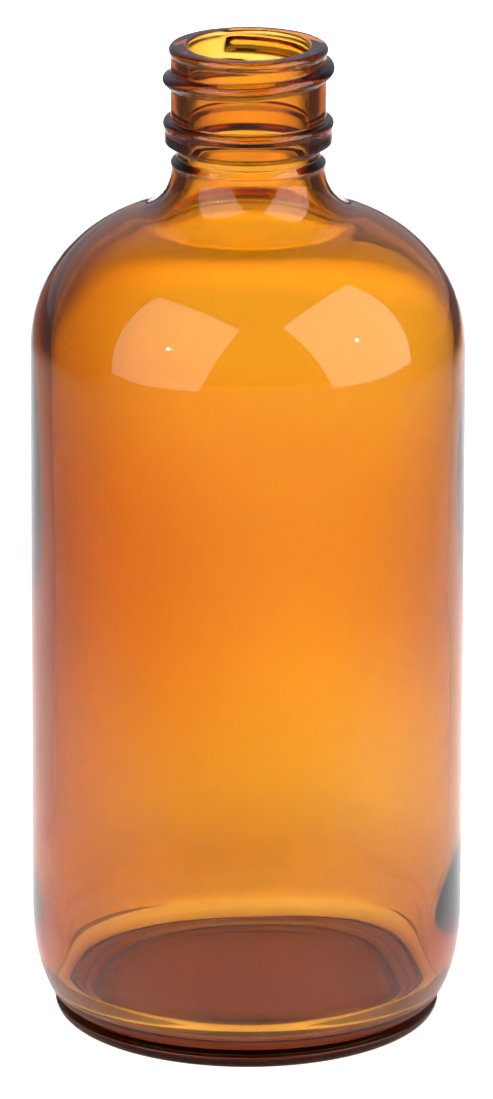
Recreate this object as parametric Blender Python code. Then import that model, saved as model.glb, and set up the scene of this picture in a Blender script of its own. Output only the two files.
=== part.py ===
"""A round amber glass bottle with a narrow screw neck, of the kind chemists keep reagents in.

It is one piece of moulded glass. A half outline of its wall is turned about the Z axis, and the
screw thread is a separate ridge that a Boolean union joins to the neck. The origin is in the
middle of the base, on the plane that the bottle stands on. Lengths are in metres.
"""

import math

import bmesh
import bpy

# Overall size
HEIGHT = 0.1395
BODY_DIAMETER = 0.0603

# Glass thickness and the cavity
WALL = 0.0022
NECK_WALL = 0.00225
BASE_THICKNESS = 0.0028
FLOOR_RISE = 0.0016
CAVITY_HEEL_RADIUS = 0.005

# Foot of the wall: glass gathers just above the heel, and fades out up to FOOT_HEIGHT
FOOT_GAIN = 0.0027
FOOT_HEIGHT = 0.025
FOOT_START = 0.0045
FOOT_RAMP = 0.004

# Shoulder and neck
SHOULDER_RADIUS = 0.0195
NECK_FILLET_RADIUS = 0.0069
NECK_INSET = 0.00013
NECK_LENGTH = 0.0172

# Heel: the wall curves in towards the base over this height and this inset
HEEL_HEIGHT = 0.0169
HEEL_INSET = 0.0096
HEEL_FULLNESS = 2.4

# Base plate: the mould's bottom leaves a small step round the heel and a rounded corner below it
PLATE_HEIGHT = 0.002
PLATE_STEP = 0.00095
PLATE_CORNER = 0.0019
PLATE_FULLNESS = 1.8
BEARING_WIDTH = 0.0036
PUSH_UP = 0.002
PUSH_UP_FULLNESS = 3.0

# Screw finish: plain wall, lip and sealing land
FINISH_DIAMETER = 0.02146
LIP_FLARE = 0.00025
LIP_ROUND = 0.0007
LIP_BAND = 0.0014
BORE_ROUND = 0.0005

# Thread: a right-hand ridge of a little over one turn
THREAD_PITCH = 0.003175
THREAD_HEIGHT = 0.00112
THREAD_WIDTH = 0.002
THREAD_FULLNESS = 2.0
THREAD_TOP_DEPTH = 0.00225
THREAD_TOP_ANGLE = 113.0
THREAD_TURNS = 1.087
THREAD_FADE = 28.0

# Bead below the thread, and the narrow collar under it
BEAD_DEPTH = 0.0102
BEAD_SHOULDER = 0.0008
BEAD_FULLNESS = 2.6
BEAD_PROJECTION = 0.00103
BEAD_BAND_STEP = 0.0002
BEAD_BAND_DROP = 0.0007
BEAD_HEIGHT = 0.0034
GROOVE_CUT = 0.0008
GROOVE_WIDTH = 0.0019
GROOVE_SLOPE = 0.0009
COLLAR_PROJECTION = 0.00014
COLLAR_WIDTH = 0.0006

# Facets
SEGMENTS = 48
THREAD_SECTIONS = 54
THREAD_SINK = 0.0006

BODY_R = BODY_DIAMETER / 2
FINISH_R = FINISH_DIAMETER / 2
NECK_R = FINISH_R - NECK_INSET
BORE_R = NECK_R - NECK_WALL


def clear_scene():
    """Remove every object that the file opened with."""
    for obj in list(bpy.data.objects):
        bpy.data.objects.remove(obj, do_unlink=True)


def arc(centre_r, centre_z, radius, start, end, steps):
    """Points on a circle from angle start to angle end, in degrees from +R towards +Z."""
    angles = (math.radians(start + (end - start) * i / steps) for i in range(steps + 1))
    return [(centre_r + radius * math.cos(a), centre_z + radius * math.sin(a)) for a in angles]


def corner(centre_r, centre_z, reach_r, reach_z, fullness, start, end, steps):
    """Points on a quarter superellipse. Fullness 2 is an ellipse, and more is squarer."""
    points = []
    for i in range(steps + 1):
        angle = math.radians(start + (end - start) * i / steps)
        across = max(math.cos(angle), 0.0) ** (2 / fullness)
        along = max(math.sin(angle), 0.0) ** (2 / fullness)
        points.append((centre_r + reach_r * across, centre_z + reach_z * along))
    return points


def shoulder_rise(body_r, neck_r, shoulder_radius, fillet_radius):
    """Height from the start of the shoulder to the top of the neck fillet, and the run between
    the two arcs' centres, for arcs that touch each other and the two upright walls."""
    run = neck_r + fillet_radius - (body_r - shoulder_radius)
    return math.sqrt((shoulder_radius + fillet_radius) ** 2 - run**2), run


def shoulder(body_r, neck_r, shoulder_radius, fillet_radius, start_z, steps):
    """The shoulder arc and the neck fillet, from the body wall up to the neck."""
    rise, run = shoulder_rise(body_r, neck_r, shoulder_radius, fillet_radius)
    meet = math.degrees(math.atan2(rise, run))
    convex = arc(body_r - shoulder_radius, start_z, shoulder_radius, 0, meet, steps)
    concave = arc(neck_r + fillet_radius, start_z + rise, fillet_radius, meet + 180, 180, steps // 2)
    return convex + concave[1:]


def shoulder_start():
    """Height where the straight body wall ends and the shoulder begins."""
    rise, _ = shoulder_rise(BODY_R, NECK_R, SHOULDER_RADIUS, NECK_FILLET_RADIUS)
    return HEIGHT - NECK_LENGTH - rise


def foot_gain(height):
    """Extra thickness of the wall at a height: a quick smooth rise, then a slow fade."""
    rise = min(max((height - FOOT_START) / FOOT_RAMP, 0.0), 1.0)
    fade = max(1 - height / FOOT_HEIGHT, 0.0) ** 1.5
    return FOOT_GAIN * fade * rise * rise * (3 - 2 * rise)


def cavity_foot(wall_r, floor_r, floor_z):
    """The inner heel and the lowest part of the inner wall, with the foot's extra thickness."""
    heel = arc(floor_r, floor_z + CAVITY_HEEL_RADIUS, CAVITY_HEEL_RADIUS, -90, 0, 8)
    top = heel[-1][1]
    wall = [(wall_r, top + (FOOT_HEIGHT - top) * i / 6) for i in range(1, 7)]
    return [(r - foot_gain(z), z) for r, z in heel + wall]


def cavity_side():
    """Outline of the cavity, from the middle of the floor up to the mouth."""
    wall_r = BODY_R - WALL
    floor_r = wall_r - CAVITY_HEEL_RADIUS
    floor_z = BASE_THICKNESS + PUSH_UP - FLOOR_RISE
    floor = corner(0, floor_z, floor_r, FLOOR_RISE, 2, 90, 0, 3)
    foot = cavity_foot(wall_r, floor_r, floor_z)
    fillet = NECK_FILLET_RADIUS + NECK_WALL
    rise = shoulder(wall_r, BORE_R, SHOULDER_RADIUS - WALL, fillet, shoulder_start(), 8)
    mouth = arc(BORE_R + BORE_ROUND, HEIGHT - BORE_ROUND, BORE_ROUND, 180, 90, 2)
    return floor[:-1] + foot + rise + mouth


def lip_side():
    """Outline of the lip, from the sealing land down to the plain wall above the thread."""
    lip_r = FINISH_R + LIP_FLARE
    rounding = arc(lip_r - LIP_ROUND, HEIGHT - LIP_ROUND, LIP_ROUND, 90, 0, 3)
    return rounding + [(FINISH_R, HEIGHT - LIP_BAND)]


def bead_side():
    """Outline of the bead under the thread, the groove below it and the narrow collar."""
    top_z = HEIGHT - BEAD_DEPTH
    ridge_z = top_z - BEAD_SHOULDER
    under_z = top_z - BEAD_HEIGHT
    band_r = FINISH_R + BEAD_PROJECTION - BEAD_BAND_STEP
    groove_r = FINISH_R - GROOVE_CUT
    groove_z = under_z - GROOVE_WIDTH
    collar_z = groove_z - GROOVE_SLOPE
    top = corner(FINISH_R, ridge_z, BEAD_PROJECTION, BEAD_SHOULDER, BEAD_FULLNESS, 90, 0, 4)
    return top + [
        (band_r, ridge_z - BEAD_BAND_DROP),
        (band_r, under_z),
        (groove_r, under_z - GROOVE_SLOPE),
        (groove_r, groove_z),
        (NECK_R + COLLAR_PROJECTION, collar_z),
        (NECK_R, collar_z - COLLAR_WIDTH),
    ]


def heel_side():
    """Outline of the heel and the base, from the body wall down to the middle of the underside."""
    drop = (HEEL_HEIGHT - PLATE_HEIGHT) / HEEL_HEIGHT
    stop = math.degrees(math.asin(drop ** (HEEL_FULLNESS / 2)))
    centre_r = BODY_R - HEEL_INSET
    heel = corner(centre_r, HEEL_HEIGHT, HEEL_INSET, -HEEL_HEIGHT, HEEL_FULLNESS, 0, stop, 8)
    plate_r = heel[-1][0] + PLATE_STEP
    bearing_r = plate_r - PLATE_CORNER
    plate = corner(bearing_r, PLATE_HEIGHT, PLATE_CORNER, -PLATE_HEIGHT, PLATE_FULLNESS, 0, 90, 5)
    hollow_r = bearing_r - BEARING_WIDTH
    hollow = corner(0, 0, hollow_r, PUSH_UP, PUSH_UP_FULLNESS, 0, 90, 6)
    return heel + plate + hollow


def wall_outline():
    """Half section of the whole bottle: up the cavity, over the lip and down the outside."""
    start_z = shoulder_start()
    outer = shoulder(BODY_R, NECK_R, SHOULDER_RADIUS, NECK_FILLET_RADIUS, start_z, 12)
    return cavity_side() + lip_side() + bead_side() + outer[::-1] + heel_side()


def smoothstep(x):
    """Rise from 0 to 1 with a level start and finish, for x from 0 to 1."""
    x = min(max(x, 0.0), 1.0)
    return x * x * (3 - 2 * x)


def thread_section(angle, centre_z, height):
    """One cross-section of the thread ridge: a closed loop that starts and ends inside the wall."""
    upper = corner(0, 0, height, THREAD_WIDTH / 2, THREAD_FULLNESS, 90, 0, 3)
    upper.insert(0, (-THREAD_SINK, THREAD_WIDTH / 2))
    lower = [(out, -up) for out, up in reversed(upper[:-1])]
    loop = []
    for out, up in upper + lower:
        radius = FINISH_R + out
        loop.append((radius * math.cos(angle), radius * math.sin(angle), centre_z + up))
    return loop


def thread_sections():
    """The thread's cross-sections from its lower end to its upper end. The height fades to just
    under the wall at both ends, so that the ridge runs out smoothly."""
    turn = 360 * THREAD_TURNS
    sections = []
    for i in range(THREAD_SECTIONS + 1):
        below_top = turn * (1 - i / THREAD_SECTIONS)
        angle = math.radians(THREAD_TOP_ANGLE - below_top)
        centre_z = HEIGHT - THREAD_TOP_DEPTH - THREAD_PITCH * below_top / 360
        fade = smoothstep(min(below_top, turn - below_top) / THREAD_FADE)
        height = THREAD_HEIGHT * fade - THREAD_SINK / 3 * (1 - fade)
        sections.append(thread_section(angle, centre_z, height))
    return sections


def glass_material():
    """Clear amber glass."""
    material = bpy.data.materials.new("amber_glass")
    material.use_nodes = True
    shader = material.node_tree.nodes["Principled BSDF"]
    shader.inputs["Base Color"].default_value = (0.78, 0.27, 0.02, 1.0)
    shader.inputs["Roughness"].default_value = 0.03
    shader.inputs["Metallic"].default_value = 0.0
    shader.inputs["IOR"].default_value = 1.52
    shader.inputs["Transmission Weight"].default_value = 1.0
    return material


def object_from(bm, name):
    """Turn a bmesh into a named object in the scene."""
    mesh = bpy.data.meshes.new(name)
    bm.to_mesh(mesh)
    bm.free()
    obj = bpy.data.objects.new(name, mesh)
    bpy.context.scene.collection.objects.link(obj)
    return obj


def make_thread():
    """The thread ridge as a closed solid, kept only as the operand of the union."""
    bm = bmesh.new()
    rings = [[bm.verts.new(point) for point in section] for section in thread_sections()]
    count = len(rings[0])
    for ring, after in zip(rings, rings[1:]):
        for i in range(count):
            j = (i + 1) % count
            bm.faces.new((ring[i], ring[j], after[j], after[i]))
    bm.faces.new(reversed(rings[0]))
    bm.faces.new(rings[-1])
    bmesh.ops.recalc_face_normals(bm, faces=bm.faces)
    thread = object_from(bm, "thread_ridge")
    thread.hide_render = True
    thread.display_type = "WIRE"
    return thread


def make_wall():
    """The bottle's wall without its thread: the half section turned once about Z."""
    bm = bmesh.new()
    verts = [bm.verts.new((radius, 0, height)) for radius, height in wall_outline()]
    edges = [bm.edges.new(pair) for pair in zip(verts, verts[1:])]
    bmesh.ops.spin(
        bm,
        geom=verts + edges,
        cent=(0, 0, 0),
        axis=(0, 0, 1),
        angle=2 * math.pi,
        steps=SEGMENTS,
        use_merge=True,
    )
    bmesh.ops.remove_doubles(bm, verts=bm.verts, dist=1e-6)
    bmesh.ops.recalc_face_normals(bm, faces=bm.faces)
    return object_from(bm, "glass_bottle")


def make_bottle():
    """The finished bottle: wall and thread as one body."""
    bottle = make_wall()
    joint = bottle.modifiers.new("thread", "BOOLEAN")
    joint.operation = "UNION"
    joint.solver = "EXACT"
    joint.object = make_thread()
    bottle.data.materials.append(glass_material())
    bottle.data.shade_smooth()
    bottle.data.set_sharp_from_angle(angle=math.radians(35))
    return bottle


clear_scene()
make_bottle()
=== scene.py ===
# %% [markdown]
# # An amber reagent bottle
# This lesson gives a plain screw-neck bottle its real glass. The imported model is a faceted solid
# with the right sizes, good enough for a physics engine. Glass is less forgiving: every facet
# bends the light behind it, so the wall has to be remade as one smooth closed skin that has an
# outside, an inside, and real thickness between them. All pieces are drawn in the same frame as
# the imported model, which is loaded first and never moved.

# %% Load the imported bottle
import math

import bpy
import numpy as np
from mathutils import Matrix, Vector


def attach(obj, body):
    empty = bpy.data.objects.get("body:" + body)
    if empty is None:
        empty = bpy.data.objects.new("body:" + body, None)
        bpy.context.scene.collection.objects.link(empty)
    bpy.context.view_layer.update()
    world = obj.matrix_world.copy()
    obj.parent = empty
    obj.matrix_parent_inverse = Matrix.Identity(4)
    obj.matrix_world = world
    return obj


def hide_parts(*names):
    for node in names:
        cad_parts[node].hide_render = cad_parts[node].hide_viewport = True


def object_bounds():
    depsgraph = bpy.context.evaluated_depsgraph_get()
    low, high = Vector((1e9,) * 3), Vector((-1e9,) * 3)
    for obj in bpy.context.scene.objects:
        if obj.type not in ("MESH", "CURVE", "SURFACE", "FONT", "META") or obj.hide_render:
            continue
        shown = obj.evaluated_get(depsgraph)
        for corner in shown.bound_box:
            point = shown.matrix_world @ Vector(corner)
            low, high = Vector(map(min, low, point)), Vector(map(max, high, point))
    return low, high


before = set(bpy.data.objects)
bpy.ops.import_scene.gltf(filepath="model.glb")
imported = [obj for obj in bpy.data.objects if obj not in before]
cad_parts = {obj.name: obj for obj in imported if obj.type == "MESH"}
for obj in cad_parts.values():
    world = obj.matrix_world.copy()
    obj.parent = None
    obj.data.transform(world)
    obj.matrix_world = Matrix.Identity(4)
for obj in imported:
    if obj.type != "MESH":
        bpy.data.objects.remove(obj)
cad_low, cad_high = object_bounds()
print("packed nodes:", sorted(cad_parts), "box", tuple(cad_low), tuple(cad_high))

# %% [markdown]
# ## The view
# The camera stands a little over a metre away and looks down by 17 degrees, through a long lens,
# so the mouth shows as a flat ellipse and the walls stay nearly parallel. It comes first because
# everything after it is judged through it. The tiny roll is how the bottle leans in the view.

# %% Camera
CAMERA_PLACE = (-0.00014, -1.203493, 0.438362)
CAMERA_PITCH = -17.137
CAMERA_ROLL = 0.12
LENS = 296.67
SENSOR = 36.0


def add_camera():
    """A camera turned up from straight down by its pitch, after a roll about its own axis."""
    data = bpy.data.cameras.new("camera")
    data.sensor_width = SENSOR
    data.lens = LENS
    data.clip_start, data.clip_end = 0.05, 50
    camera = bpy.data.objects.new("camera", data)
    bpy.context.scene.collection.objects.link(camera)
    tilt = Matrix.Rotation(math.radians(90 + CAMERA_PITCH), 4, "X")
    roll = Matrix.Rotation(math.radians(CAMERA_ROLL), 4, "Z")
    camera.matrix_world = Matrix.Translation(CAMERA_PLACE) @ tilt @ roll
    bpy.context.scene.camera = camera
    return camera


camera = add_camera()
print("camera at", tuple(round(v, 4) for v in camera.matrix_world.translation))

# %% [markdown]
# ## The drawing
# A glassmaker's drawing of a bottle is a half section: one line for the outside, one for the
# cavity. Its sizes are in millimetres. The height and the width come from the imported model's own
# box. The shoulder, the neck and the screw finish come next, because the outside and the cavity
# both use them.

# %% Sizes that both lines share, in millimetres
MM = 0.001
HEIGHT = cad_high.z / MM
BODY_R = (cad_high.x - cad_low.x) / 2 / MM

SHOULDER_R = 19.5
NECK_FILLET_R = 6.9
NECK_LENGTH = 17.2
FINISH_R = 10.73  # the plain wall that carries the thread
NECK_R = FINISH_R - 0.13
print(f"height {HEIGHT:.2f} mm, body {2 * BODY_R:.2f} mm, neck {2 * NECK_R:.2f} mm")

# %% [markdown]
# ## Curves for the section
# Two curves are enough for the whole section. An arc serves for the shoulder and the fillets. A
# superellipse serves where a mould's corner is fuller or flatter than an arc, such as the heel.
# Each is worked out as one array of points, not point by point.


# %% Arc and superellipse
def arc(centre, radius, start, end, count=60):
    """Points on a circle: the centre, plus the radius times (cos a, sin a), for a in degrees."""
    a = np.radians(np.linspace(start, end, count))
    return np.column_stack([centre[0] + radius * np.cos(a), centre[1] + radius * np.sin(a)])


def oval(centre, reach, fullness, start, end, count=80):
    """Points on a superellipse: the centre, plus each reach times cos a or sin a raised to
    2 / fullness. A fullness of 2 is an ellipse, and more is squarer."""
    a = np.radians(np.linspace(start, end, count))
    across = np.clip(np.cos(a), 0, 1) ** (2 / fullness)
    along = np.clip(np.sin(a), 0, 1) ** (2 / fullness)
    return np.column_stack([centre[0] + reach[0] * across, centre[1] + reach[1] * along])


quarter = arc((0, 0), 1, 0, 90, 3)
print("three points of a quarter circle:", quarter.round(2).tolist())

# %% [markdown]
# ## The shoulder
# The shoulder is one arc that leaves the wall upright, and the neck's fillet is another that
# reaches the neck upright. They touch where the line between their centres crosses them, so the
# two radii and the run between the centres give the rise. The wall ends that much below the neck.


# %% Shoulder and neck fillet
def shoulder_rise(body_r, neck_r, round_r, fillet_r):
    """Run and rise from the shoulder's centre to the fillet's, which are round_r + fillet_r
    apart: rise^2 = (round_r + fillet_r)^2 - run^2."""
    run = neck_r + fillet_r - (body_r - round_r)
    return run, math.sqrt((round_r + fillet_r) ** 2 - run**2)


def shoulder(body_r, neck_r, round_r, fillet_r, start_z):
    """A shoulder arc and a neck fillet that touch each other and both upright walls."""
    run, rise = shoulder_rise(body_r, neck_r, round_r, fillet_r)
    meet = math.degrees(math.atan2(rise, run))
    up = arc((body_r - round_r, start_z), round_r, 0, meet)
    over = arc((neck_r + fillet_r, start_z + rise), fillet_r, meet + 180, 180)
    return np.concatenate([up, over[1:]])


SHOULDER_Z = HEIGHT - NECK_LENGTH - shoulder_rise(BODY_R, NECK_R, SHOULDER_R, NECK_FILLET_R)[1]
print(f"the straight wall ends {SHOULDER_Z:.2f} mm up")

# %% [markdown]
# ## The screw finish and its bead
# From the sealing land the outside runs down a slightly flared lip, the plain wall that carries
# the thread, and the stepped bead that a tamper ring locks under. Below it come a groove and a
# low collar, where the neck ring of the mould met the two body halves.

# %% Lip, bead, groove and collar
LIP_FLARE = 0.25
LIP_ROUND = 0.7
LIP_BAND = 1.4

BEAD_DEPTH = 10.2
BEAD_SHOULDER = 0.8
BEAD_FULLNESS = 2.6
BEAD_OUT = 1.03
BEAD_HEIGHT = 3.4
BEAD_STEP = 0.2
BEAD_STEP_DROP = 0.7

GROOVE_CUT = 0.8
GROOVE_WIDTH = 1.9
GROOVE_SLOPE = 0.9
COLLAR_OUT = 0.14
COLLAR_HEIGHT = 0.6


def lip_and_bead():
    """The screw finish without its thread, from the sealing land down to the neck."""
    lip_r = FINISH_R + LIP_FLARE
    lip = arc((lip_r - LIP_ROUND, HEIGHT - LIP_ROUND), LIP_ROUND, 90, 0, 20)
    ridge_z = HEIGHT - BEAD_DEPTH - BEAD_SHOULDER
    bead = oval((FINISH_R, ridge_z), (BEAD_OUT, BEAD_SHOULDER), BEAD_FULLNESS, 90, 0, 30)
    step_r = FINISH_R + BEAD_OUT - BEAD_STEP
    under_z = HEIGHT - BEAD_DEPTH - BEAD_HEIGHT
    groove_r = FINISH_R - GROOVE_CUT
    collar_z = under_z - GROOVE_WIDTH - GROOVE_SLOPE
    steps = [
        (step_r, ridge_z - BEAD_STEP_DROP),
        (step_r, under_z),
        (groove_r, under_z - GROOVE_SLOPE),
        (groove_r, under_z - GROOVE_WIDTH),
        (NECK_R + COLLAR_OUT, collar_z),
        (NECK_R, collar_z - COLLAR_HEIGHT),
    ]
    return np.concatenate([lip, [(FINISH_R, HEIGHT - LIP_BAND)], bead, steps])


finish_line = lip_and_bead()
print(f"screw finish: {len(finish_line)} points down to {finish_line[-1, 1]:.2f} mm")

# %% [markdown]
# ## The heel and the base
# The heel curves in to the step where the mould's base plate met its halves. The plate's round
# corner leads to the flat standing ring, and inside the ring is the hollow that keeps the bottle
# from rocking. The line ends on the axis.

# %% Heel, base plate, standing ring and hollow
HEEL_HEIGHT = 16.9
HEEL_INSET = 9.6
HEEL_FULLNESS = 2.4

PLATE_HEIGHT = 2.0
PLATE_STEP = 0.95
PLATE_CORNER = 1.9
PLATE_FULLNESS = 1.8

BEARING_WIDTH = 3.6
PUSH_UP = 2.0
PUSH_UP_FULLNESS = 3.0


def heel_and_base():
    """The heel stops at the plate's height, where its sine is
    (1 - PLATE_HEIGHT / HEEL_HEIGHT) ^ (HEEL_FULLNESS / 2), and the plate starts a step out."""
    stop = math.degrees(math.asin((1 - PLATE_HEIGHT / HEEL_HEIGHT) ** (HEEL_FULLNESS / 2)))
    heel_reach = (HEEL_INSET, -HEEL_HEIGHT)
    heel = oval((BODY_R - HEEL_INSET, HEEL_HEIGHT), heel_reach, HEEL_FULLNESS, 0, stop)
    ring_r = heel[-1, 0] + PLATE_STEP - PLATE_CORNER
    plate = oval((ring_r, PLATE_HEIGHT), (PLATE_CORNER, -PLATE_HEIGHT), PLATE_FULLNESS, 0, 90)
    hollow = oval((0, 0), (ring_r - BEARING_WIDTH, PUSH_UP), PUSH_UP_FULLNESS, 0, 90)
    return np.concatenate([heel, plate, hollow])


outer_shoulder = shoulder(BODY_R, NECK_R, SHOULDER_R, NECK_FILLET_R, SHOULDER_Z)[::-1]
outside = np.concatenate([finish_line, outer_shoulder, heel_and_base()])
print(f"outside line: {len(outside)} points, {outside[:, 0].max():.2f} mm at its widest")

# %% [markdown]
# ## The cavity line
# Air blows the inside, so it has no sharp corner anywhere: a floor that rises a little in the
# middle over the hollow, a round inner heel, the wall, a shoulder and fillet that follow the
# outside, and the bore that the plunger left.

# %% Inside of the half section
WALL = 2.2
NECK_WALL = 2.25
BASE_THICKNESS = 2.8
FLOOR_RISE = 1.6
CAVITY_HEEL_R = 5.0
BORE_ROUND = 0.5

bore_r = NECK_R - NECK_WALL
wall_r = BODY_R - WALL
floor_r = wall_r - CAVITY_HEEL_R
floor_z = BASE_THICKNESS + PUSH_UP - FLOOR_RISE
inside = np.concatenate([
    oval((0, floor_z), (floor_r, FLOOR_RISE), 2, 90, 0)[:-1],
    arc((floor_r, floor_z + CAVITY_HEEL_R), CAVITY_HEEL_R, -90, 0),
    shoulder(wall_r, bore_r, SHOULDER_R - WALL, NECK_FILLET_R + NECK_WALL, SHOULDER_Z),
    arc((bore_r + BORE_ROUND, HEIGHT - BORE_ROUND), BORE_ROUND, 180, 90, 20),
])
print(f"cavity line: {len(inside)} points, floor {inside[0, 1]:.2f} mm up")
print(f"bore {2 * bore_r:.2f} mm, inside of the wall {2 * wall_r:.2f} mm")

# %% [markdown]
# ## Fire polish
# Hot glass has no knife edges: surface tension rounds them to a few tenths of a millimetre. The
# section is walked at very small equal steps and each point is averaged with its neighbours,
# weighted by a bell curve. Straight runs don't move, large arcs hardly move, and corners melt.
# Both ends lie on the axis, where the line is continued by its own mirror image, so that the
# glass crosses the axis level. The land and the standing ring stay flat.

# %% Round the edges of the section
FINE = 0.02
POLISH = 0.13
BELL_REACH = 4  # in widths of the bell, past which its weight is nothing


def walk(points, step):
    """Points at equal steps along a line: its length so far is measured at each corner, and each
    coordinate is read off at equal lengths."""
    gaps = np.hypot(*np.diff(points, axis=0).T)
    length = np.concatenate([[0], np.cumsum(gaps)])
    at = np.linspace(0, length[-1], int(length[-1] / step) + 1)
    return np.column_stack([np.interp(at, length, column) for column in points.T])


def fire_polished(points, radius):
    """The bell-weighted average along the line, weights exp(-d^2 / 2 radius^2) at distance d."""
    reach = int(BELL_REACH * radius / FINE)
    bell = np.exp(-0.5 * (np.arange(-reach, reach + 1) * FINE / radius) ** 2)
    before = points[reach:0:-1] * (-1, 1)
    beyond = points[-2:-reach - 2:-1] * (-1, 1)
    longer = np.concatenate([before, points, beyond])
    return np.column_stack([np.convolve(c, bell / bell.sum(), mode="valid") for c in longer.T])


section = fire_polished(walk(np.concatenate([inside, outside]), FINE), POLISH)
section[[0, -1], 0] = 0
print(f"section of {len(section)} fine points, {len(section) * FINE:.0f} mm long")

# %% [markdown]
# ## Points where they are needed
# The mesh has a limit, so its rows are spent where the line bends and where the thread needs
# them, and are saved on the straight wall. A running total counts how many rows each stretch
# deserves, and the rows are placed at equal counts.

# %% Choose the rows of the mesh
TURN_PER_ROW = math.radians(6)
LONGEST_ROW = 2.4
THREAD_ROW = 0.1
THREAD_HIGHEST = HEIGHT - 0.9
THREAD_LOWEST = HEIGHT - 7.2
THREAD_INMOST = FINISH_R - 0.3


def rows_along(points):
    """Rows at equal steps of a count. The count grows with the bend over TURN_PER_ROW, with the
    length over LONGEST_ROW, and over the thread with the length over THREAD_ROW."""
    step = np.diff(points, axis=0)
    length = np.hypot(*step.T)
    heading = np.unwrap(np.arctan2(step[:, 1], step[:, 0]))
    bend = np.abs(np.gradient(heading))
    radius, height = ((points[1:] + points[:-1]) / 2).T
    threaded = (radius > THREAD_INMOST) & (height > THREAD_LOWEST) & (height < THREAD_HIGHEST)
    count = bend / TURN_PER_ROW + length / LONGEST_ROW + threaded * length / THREAD_ROW
    total = np.concatenate([[0], np.cumsum(count)])
    at = np.linspace(0, total[-1], int(total[-1]) + 2)
    return np.column_stack([np.interp(at, total, column) for column in points.T])


rows = rows_along(section)
lip_row = int(np.argmax(rows[:, 1]))
print(f"{len(rows)} rows, {lip_row} of them inside")

# %% [markdown]
# ## The screw thread
# The thread is one low ridge that winds down the plain wall for a little over a turn, 8 turns to
# the inch. It could be a swept tube joined by a Boolean, but then the glass would have a crease
# and stray slivers where the two meet. Here the wall itself is pushed out: at each angle the
# helix gives the height of the ridge's middle, and the distance from it gives the push. The
# ridge starts bluntly at the top and fades slowly at the bottom, as a mould cuts it.

# %% Thread as a push on the wall
THREAD_PITCH = 3.175
THREAD_HEIGHT = 1.12
THREAD_HALF_WIDTH = 1.0
THREAD_BELL_REACH = 0.5
THREAD_TOP_DEPTH = 2.25
THREAD_TOP_ANGLE = 113.0
THREAD_TURNS = 1.087
THREAD_START_FADE = 13.0
THREAD_END_FADE = 30.0


def smooth_rise(x):
    """0 to 1 with a level start and finish: 3x^2 - 2x^3."""
    x = np.clip(x, 0, 1)
    return x * x * (3 - 2 * x)


def ridge(offset):
    """Half an ellipse, 1 high and THREAD_HALF_WIDTH to each side, fire-polished at its feet."""
    across = np.arange(-2 * THREAD_HALF_WIDTH, 2 * THREAD_HALF_WIDTH, FINE)
    bump = np.sqrt(np.clip(1 - (across / THREAD_HALF_WIDTH) ** 2, 0, 1))
    near = np.arange(-THREAD_BELL_REACH, THREAD_BELL_REACH, FINE)
    bell = np.exp(-0.5 * (near / POLISH) ** 2)
    return np.interp(offset, across, np.convolve(bump, bell / bell.sum(), mode="same"))


def thread_push(angle, height):
    """How far the thread stands out, for arrays of angle in degrees and height in millimetres.
    At an angle, the middle of the ridge is THREAD_PITCH lower for each turn from its top."""
    push = np.zeros(np.broadcast(angle, height).shape)
    for turn in range(2):
        wound = (THREAD_TOP_ANGLE - angle) % 360 + 360 * turn
        middle = HEIGHT - THREAD_TOP_DEPTH - THREAD_PITCH * wound / 360
        start = smooth_rise(wound / THREAD_START_FADE)
        end = smooth_rise((360 * THREAD_TURNS - wound) / THREAD_END_FADE)
        push = np.maximum(push, THREAD_HEIGHT * start * end * ridge(height - middle))
    return push


print(f"thread {2 * (FINISH_R + THREAD_HEIGHT):.1f} mm across")

# %% [markdown]
# ## Blown glass is never even
# The outside took the mould's shape, but the inside was blown, so the wall varies by a few
# tenths of a millimetre: thicker on one side, thicker at mid-height, with slow waves. These
# small differences are what bends the light and deepens the colour here and there, which tells
# the eye that this is moulded glass and not plastic tube. Each is a short sum of cosines, and
# all of them fade out at the bore and the floor.

# %% Unevenness of the cavity
CAVITY_SHIFT = 0.45
CAVITY_SHIFT_TURN = 0.15  # radians
CAVITY_BELLY = 0.4
BELLY_MIDDLE = 62
BELLY_SPREAD = 15
EVEN_BELOW = 12
EVEN_ABOVE = 118
FADE_IN = 20
FADE_OUT = 14
WAVES = [  # depth, how many round the bottle, turn in radians, millimetres of height a radian
    (0.10, 2, 1.1, 31),
    (0.07, 3, -0.4, -19),
    (0.05, 5, 2.0, 13),
    (0.06, 0, 0.7, 8.5),
]


def unevenness(angle, height):
    """Change of the cavity's radius: the shift is depth * cos(a), the belly is a bell in height,
    and a wave is depth * cos(count * a + turn + height / length)."""
    a = np.radians(angle)
    shift = CAVITY_SHIFT * np.cos(a - CAVITY_SHIFT_TURN)
    belly = -CAVITY_BELLY * np.exp(-0.5 * ((height - BELLY_MIDDLE) / BELLY_SPREAD) ** 2)
    waves = sum(depth * np.cos(n * a + turn + height / long) for depth, n, turn, long in WAVES)
    rise = smooth_rise((height - EVEN_BELOW) / FADE_IN)
    fall = smooth_rise((EVEN_ABOVE - height) / FADE_OUT)
    return (shift + belly + waves) * rise * fall


thick = unevenness(np.arange(0, 360, 5)[None, :], np.arange(0, HEIGHT, 2)[:, None])
print(f"wall from {WALL - thick.max():.2f} to {WALL - thick.min():.2f} mm")

# %% [markdown]
# ## The foot
# Hot glass sinks a little before the blow is finished, so it gathers just above the heel. The
# cavity is narrower there, and the foot fades out upwards. It bends the view of the base upwards
# where that shows through the front wall, and it leaves the inner heel itself thin.

# %% Foot of the cavity
FOOT_GAIN = 2.7
FOOT_HEIGHT = 25.0
FOOT_START = 4.5
FOOT_RAMP = 4.0
FOOT_POWER = 1.5


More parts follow.
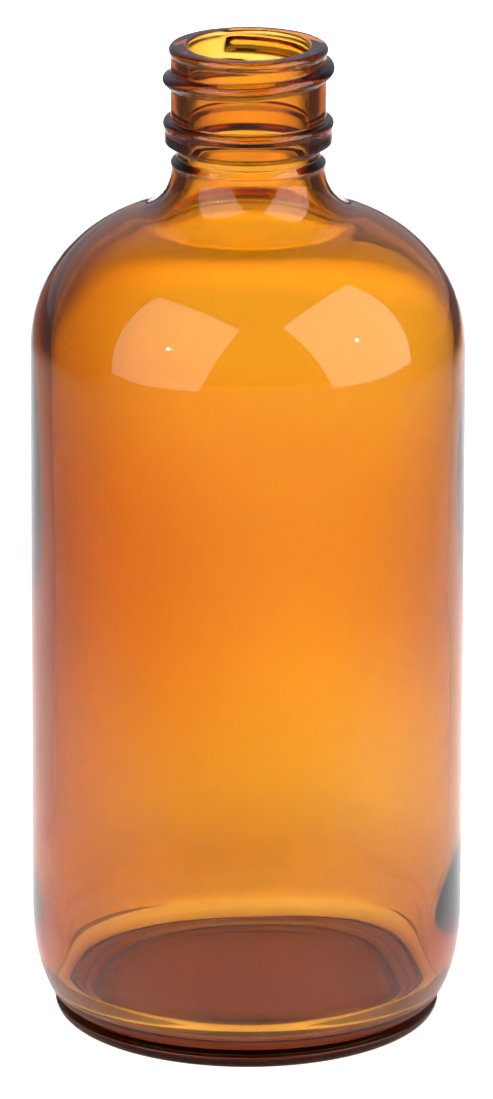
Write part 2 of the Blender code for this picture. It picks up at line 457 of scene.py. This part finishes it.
def foot_gain(height):
    """Glass gained: FOOT_GAIN * (1 - height / FOOT_HEIGHT) ^ FOOT_POWER, from a smooth start."""
    fading = np.clip(1 - height / FOOT_HEIGHT, 0, 1) ** FOOT_POWER
    return FOOT_GAIN * fading * smooth_rise((height - FOOT_START) / FOOT_RAMP)


print(f"the foot is {foot_gain(np.arange(0, FOOT_HEIGHT, 0.1)).max():.2f} mm at its thickest")

# %% [markdown]
# ## The skin
# Every row is carried once round the axis, so the skin is a grid of rows and angles. The two
# rows on the axis shrink to single points, which close the floor and the underside. The first
# and last angles share their faces, so there is no seam.

# %% Grid of the whole bottle
SEGMENTS = 200


def bottle_grid():
    """Points at radius * (cos a, sin a) and a height, for all rows and angles at once."""
    angle = np.linspace(0, 360, SEGMENTS, endpoint=False)[None, :]
    radius, height = rows[:, :1], rows[:, 1:]
    is_outside = (np.arange(len(rows)) > lip_row)[:, None]
    cavity = unevenness(angle, height) - foot_gain(height)
    push = np.where(is_outside, thread_push(angle, height), cavity)
    radius = np.where(radius > 0, radius + push, 0)
    a = np.radians(angle)
    grid = [radius * np.cos(a), radius * np.sin(a), height + 0 * a]
    return np.stack(grid, axis=-1) * MM


def grid_faces(count_rows, count_around):
    """Quads between neighbouring rows, wrapped round, and a fan of triangles at each pole."""
    ring = np.arange(count_around)
    after = (ring + 1) % count_around
    base = 1 + np.arange(count_rows - 3)[:, None] * count_around
    corners = [base + ring, base + after, base + count_around + after, base + count_around + ring]
    quads = np.stack(corners, axis=-1).reshape(-1, 4)
    last = 1 + (count_rows - 2) * count_around
    floor_fan = np.column_stack([0 * ring, after + 1, ring + 1])
    under = last - count_around
    under_fan = np.column_stack([0 * ring + last, under + ring, under + after])
    return quads, np.concatenate([floor_fan, under_fan])


grid = bottle_grid()
points = np.concatenate([grid[0, :1], grid[1:-1].reshape(-1, 3), grid[-1, :1]])
quads, fans = grid_faces(*grid.shape[:2])
print(f"{len(points)} points, {len(quads)} quads and {len(fans)} triangles")

# %% [markdown]
# ## How much glass
# The skin is one closed surface, so the sum of its faces' wedges to the origin is the volume of
# the glass. If it comes out negative, the faces are inside out, and all of them are turned.


# %% Volume, and faces turned outward
def volume_of(points, triangles):
    """A sixth of the sum of each face's triple product."""
    a, b, c = (points[triangles[:, i]] for i in range(3))
    return np.einsum("ij,ij->i", a, np.cross(b, c)).sum() / 6


triangles = np.concatenate([quads[:, :3], quads[:, [0, 2, 3]], fans])
glass_volume = volume_of(points, triangles)
if glass_volume < 0:
    quads, fans = quads[:, ::-1], fans[:, ::-1]
print(f"{len(triangles)} triangles, {abs(glass_volume) * 1e6:.1f} cc of glass")

# %% [markdown]
# ## Into Blender
# The arrays go straight into a mesh. Smooth shading is enough, because the edges are already
# rounded in the shape. The object stays at the origin, so that patterns on its own coordinates
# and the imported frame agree.


# %% Make the bottle's object
def mesh_object(name, points, faces):
    """A smooth-shaded mesh object at the origin."""
    mesh = bpy.data.meshes.new(name)
    mesh.from_pydata(points.tolist(), [], faces)
    mesh.polygons.foreach_set("use_smooth", np.ones(len(mesh.polygons), bool))
    mesh.update()
    made = bpy.data.objects.new(name, mesh)
    bpy.context.scene.collection.objects.link(made)
    return made


bottle = mesh_object("bottle_glass", points, quads.tolist() + fans.tolist())
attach(bottle, "root")
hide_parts("glass_bottle")
print(bottle.name, len(bottle.data.polygons), "faces")

# %% [markdown]
# ## Tools for materials
# Colours are written as they look on a screen and turned to linear light by one function. One
# more function adds a node, so that a material reads as a list of what it is made of.


# %% Colour and node helpers
def linear(hex_colour):
    """sRGB hex to linear: c / 12.92 below 0.04045, else ((c + 0.055) / 1.055) ^ 2.4."""
    c = np.array([int(hex_colour[i:i + 2], 16) for i in (1, 3, 5)]) / 255
    return tuple(np.where(c <= 0.04045, c / 12.92, ((c + 0.055) / 1.055) ** 2.4))


def add_node(tree, kind, settings=None, inputs=None, links=None):
    """A node with its settings, its sockets' values, and links given as socket: output."""
    node = tree.nodes.new(kind)
    for name, value in (settings or {}).items():
        setattr(node, name, value)
    for name, value in (inputs or {}).items():
        node.inputs[name].default_value = value
    for name, output in (links or {}).items():
        tree.links.new(output, node.inputs[name])
    return node


def new_material(name):
    """An empty node material and its output node."""
    material = bpy.data.materials.new(name)
    material.use_nodes = True
    material.node_tree.nodes.clear()
    return material, add_node(material.node_tree, "ShaderNodeOutputMaterial")


print("middle grey in linear light:", [round(float(v), 3) for v in linear("#808080")])

# %% [markdown]
# ## Amber glass
# Amber is soda-lime glass coloured by iron and sulphur and by carbon in the melt. The surface is
# as the mould and the fire left it, glossy and colourless; the colour is all inside, so a thick
# part is deeper than a thin one. That is why the colour is set as absorption in the volume and
# the surface is clear. Two walls of 2.2 mm, with the light crossing them at a slant, make about
# 4.5 mm of glass, which is the depth that the amber is given at.

# %% Amber soda-lime glass
AMBER = "#c47d12"
AMBER_DEPTH = 4.5 * MM
SODA_LIME_IOR = 1.52


def absorption(hex_colour, depth):
    """Colour and density of a Volume Absorption that turns white to this colour over the depth.
    The loss per metre is -ln(colour) / depth, and the node's loss is density * (1 - colour)."""
    loss = -np.log(np.array(linear(hex_colour))) / depth
    density = loss.max()
    return (*(1 - loss / density), 1), density


def amber_soda_lime():
    """Clear smooth surface over a coloured volume."""
    material, output = new_material("amber_soda_lime_glass")
    tree = material.node_tree
    clear = {
        "Base Color": (1, 1, 1, 1),
        "Roughness": 0.0,
        "IOR": SODA_LIME_IOR,
        "Transmission Weight": 1,
    }
    surface = add_node(tree, "ShaderNodeBsdfPrincipled", inputs=clear)
    colour, density = absorption(AMBER, AMBER_DEPTH)
    tint = {"Color": colour, "Density": density}
    body = add_node(tree, "ShaderNodeVolumeAbsorption", inputs=tint)
    tree.links.new(surface.outputs["BSDF"], output.inputs["Surface"])
    tree.links.new(body.outputs["Volume"], output.inputs["Volume"])
    print("absorption colour", [round(float(v), 3) for v in colour])
    print("absorption density", round(float(density)), "per metre")
    return material


bottle.data.materials.append(amber_soda_lime())

# %% [markdown]
# ## The floor
# A sheet of pale card runs far past the bottle on all sides. It isn't part of the object. Seen
# directly, the card glows up to plain white, as an overexposed studio floor does. Seen through
# the glass it only gives back the light that falls on it.

# %% Floor
FLOOR_REACH = 6.0
FLOOR_GAP = 0.1 * MM
CARD = "#f4f4f6"


def pale_card():
    """Rough card, with white light added for rays that come straight from the camera."""
    material, output = new_material("pale_floor_card")
    tree = material.node_tree
    matt = {"Base Color": (*linear(CARD), 1), "Roughness": 0.9}
    card = add_node(tree, "ShaderNodeBsdfPrincipled", inputs=matt)
    sight = add_node(tree, "ShaderNodeLightPath")
    white = {"Color": (1, 1, 1, 1)}
    seen = {"Strength": sight.outputs["Is Camera Ray"]}
    lift = add_node(tree, "ShaderNodeEmission", inputs=white, links=seen)
    both = add_node(tree, "ShaderNodeAddShader")
    tree.links.new(card.outputs["BSDF"], both.inputs[0])
    tree.links.new(lift.outputs["Emission"], both.inputs[1])
    tree.links.new(both.outputs["Shader"], output.inputs["Surface"])
    return material


def add_floor():
    """A large square a hair below the standing ring."""
    r, z = FLOOR_REACH, -FLOOR_GAP
    corners = np.array([(-r, -r, z), (r, -r, z), (r, r, z), (-r, r, z)])
    floor = mesh_object("floor", corners, [(0, 1, 2, 3)])
    floor.data.materials.append(pale_card())
    return floor


floor = add_floor()
print("floor", 2 * FLOOR_REACH, "m square")

# %% [markdown]
# ## The softboxes
# Two big square softboxes stand in front, to the left and right, and their reflections on the
# shoulder are what makes the glass look wet and round. The lamp behind each cloth shows as a
# small hot spot in the middle. They are linked to the bottle alone, so that the floor's light
# can be set by itself.

# %% Two softboxes and the lamps behind their cloth
TARGET = Vector((0, 0, 0.1))
SOFTBOX_SIZE = (0.84, 0.98)
SOFTBOX_AWAY = 0.8
HOT_SPOT_SIZE = (0.022, 0.022)
HOT_SPOT_AWAY = 0.79
HOT_SPOT_RADIANCE = 120


def direction(azimuth, elevation):
    """Unit vector to that azimuth, from the front towards +X, and that height above level."""
    a, e = math.radians(azimuth), math.radians(elevation)
    return Vector((math.sin(a) * math.cos(e), -math.cos(a) * math.cos(e), math.sin(e)))


def add_light(name, kind, energy):
    """A light of that kind and power, at the origin."""
    data = bpy.data.lights.new(name, kind)
    data.energy = energy
    light = bpy.data.objects.new(name, data)
    bpy.context.scene.collection.objects.link(light)
    return light


def add_rectangle(name, size, radiance):
    """A rectangular light at the origin. Its power is radiance * area * pi."""
    light = add_light(name, "AREA", radiance * size[0] * size[1] * math.pi)
    light.data.shape = "RECTANGLE"
    light.data.size, light.data.size_y = size
    return light


def add_panel(name, azimuth, elevation, distance, size, radiance, spin=0.0):
    """A rectangular light that faces the target, spun about the line to it."""
    panel = add_rectangle(name, size, radiance)
    way = direction(azimuth, elevation)
    turn = way.to_track_quat("Z", "Y").to_matrix().to_4x4()
    place = Matrix.Translation(TARGET + way * distance)
    panel.matrix_world = place @ turn @ Matrix.Rotation(math.radians(spin), 4, "Z")
    return panel


def collection_of(name, *objects):
    """A loose collection, which light linking takes as its list of objects."""
    made = bpy.data.collections.new(name)
    for member in objects:
        made.objects.link(member)
    return made


hot_spot = (HOT_SPOT_AWAY, HOT_SPOT_SIZE, HOT_SPOT_RADIANCE)
softboxes = [
    add_panel("softbox_left", -46, 24, SOFTBOX_AWAY, SOFTBOX_SIZE, 2.0, -8),
    add_panel("softbox_right", 65, 25, SOFTBOX_AWAY, SOFTBOX_SIZE, 2.5, 8),
    add_panel("lamp_left", -44.5, 22.9, *hot_spot),
    add_panel("lamp_right", 63.3, 23.5, *hot_spot),
]
glass_only = collection_of("lit_by_softboxes", bottle)
for softbox in softboxes:
    softbox.light_linking.receiver_collection = glass_only
print("on the glass:", [light.name for light in softboxes])

# %% [markdown]
# ## Light on the floor
# Amber glass shows whatever is behind it, and most of that is the floor. Flat banks light it in
# broad areas and pools light it in soft rounds. Two of the pools are warm: they stand for the
# light that comes down through the glass and tints the card under and behind it. The one right
# under the bottle takes no shadow from the glass, as real glass would only colour it.

# %% Banks and pools for the floor
BANK_HEIGHT = 0.4
POOL_HEIGHT = 0.6
POOL_LAMP_R = 0.04


def add_bank(name, middle, size, spread, radiance):
    """A flat bank of light that looks straight down through a grid, so that its edge on the floor
    stays near its own edge."""
    bank = add_rectangle(name, size, radiance)
    bank.data.spread = math.radians(spread)
    bank.location = (*middle, BANK_HEIGHT)
    return bank


def add_pool(name, aim, width, radiance, colour="#ffffff", blend=1.0):
    """A soft round pool of light on the floor, from straight above it. The pool's width sets the
    cone, and it fades all the way to its edge. A lamp of power P at height h lights the floor with
    P / (4 pi h^2), and white card gives back 1 / pi of that."""
    pool = add_light(name, "SPOT", radiance * 4 * (math.pi * POOL_HEIGHT) ** 2)
    pool.data.spot_size = 2 * math.atan(width / 2 / POOL_HEIGHT)
    pool.data.spot_blend = blend
    pool.data.shadow_soft_size = POOL_LAMP_R
    pool.data.color = linear(colour)
    pool.location = (*aim, POOL_HEIGHT)
    return pool


pool_under = add_pool("pool_under", (0, 0), 0.07, 0.8, "#ffb89a", 0.3)
pool_under.light_linking.blocker_collection = collection_of("casts_no_shadow_under", floor)
floor_lamps = [
    pool_under,
    add_bank("bank_back", (0.01, 0.76), (0.38, 1.7), 30, 1.2),
    add_bank("bank_side", (0, 0.12), (0.8, 0.36), 30, 0.35),
    add_bank("bank_front", (0, -0.6), (1.8, 1.0), 60, 0.25),
    add_pool("pool_near", (0.012, 0.12), 0.2, 0.6),
    add_pool("pool_far", (0.012, 0.42), 0.46, 0.75),
    add_pool("pool_neck", (0.012, 0.6), 0.34, 1.1, "#ffe4d0"),
    add_pool("pool_amber", (0, 0.22), 0.22, 0.6, "#ff8a2a"),
]
for lamp in floor_lamps:  # they light the floor, and show neither in the glass nor through it
    lamp.visible_camera = False
    lamp.visible_glossy = False
    lamp.visible_transmission = False
print("on the floor:", [lamp.name for lamp in floor_lamps])

# %% [markdown]
# ## The room
# The room is dim, so that the sides of the bottle stay dark, and only the wall behind is lit.

# %% World
ROOM_DIM = 0.14
BACK_WALL = 0.5
WALL_STARTS, WALL_FULL = 0.45, 0.9  # how far a direction points to the back, 1 being straight
ROOM_COLOUR = "#ece8f4"


def room_world():
    """A dim room whose far wall, behind the bottle, is lit: the light in a direction rises
    smoothly from ROOM_DIM to BACK_WALL as the direction turns to the back."""
    world = bpy.data.worlds.new("room")
    world.use_nodes = True
    tree = world.node_tree
    towards = add_node(tree, "ShaderNodeTexCoord").outputs["Generated"]
    parts = add_node(tree, "ShaderNodeSeparateXYZ", links={"Vector": towards})
    strength = add_node(
        tree,
        "ShaderNodeMapRange",
        {"interpolation_type": "SMOOTHSTEP"},
        {"From Min": WALL_STARTS, "From Max": WALL_FULL, "To Min": ROOM_DIM, "To Max": BACK_WALL},
        {"Value": parts.outputs["Y"]},
    )
    sky = tree.nodes["Background"]
    sky.inputs["Color"].default_value = (*linear(ROOM_COLOUR), 1)
    tree.links.new(strength.outputs["Result"], sky.inputs["Strength"])
    return world


bpy.context.scene.world = room_world()
print("room from", ROOM_DIM, "to", BACK_WALL, "at the back")

# %% [markdown]
# ## Colour and bounces
# Colours are shown as they are, without a film curve, so that plain white stays white. Light
# crosses four or more glass surfaces on its way through the bottle and bounces inside the walls,
# so the number of bounces is raised.

# %% Plain colour, and enough bounces for glass
scene = bpy.context.scene
scene.view_settings.view_transform = "Standard"
scene.cycles.max_bounces = 24
scene.cycles.transmission_bounces = 24
scene.cycles.glossy_bounces = 12
print("colour:", scene.view_settings.view_transform, "bounces:", scene.cycles.max_bounces)
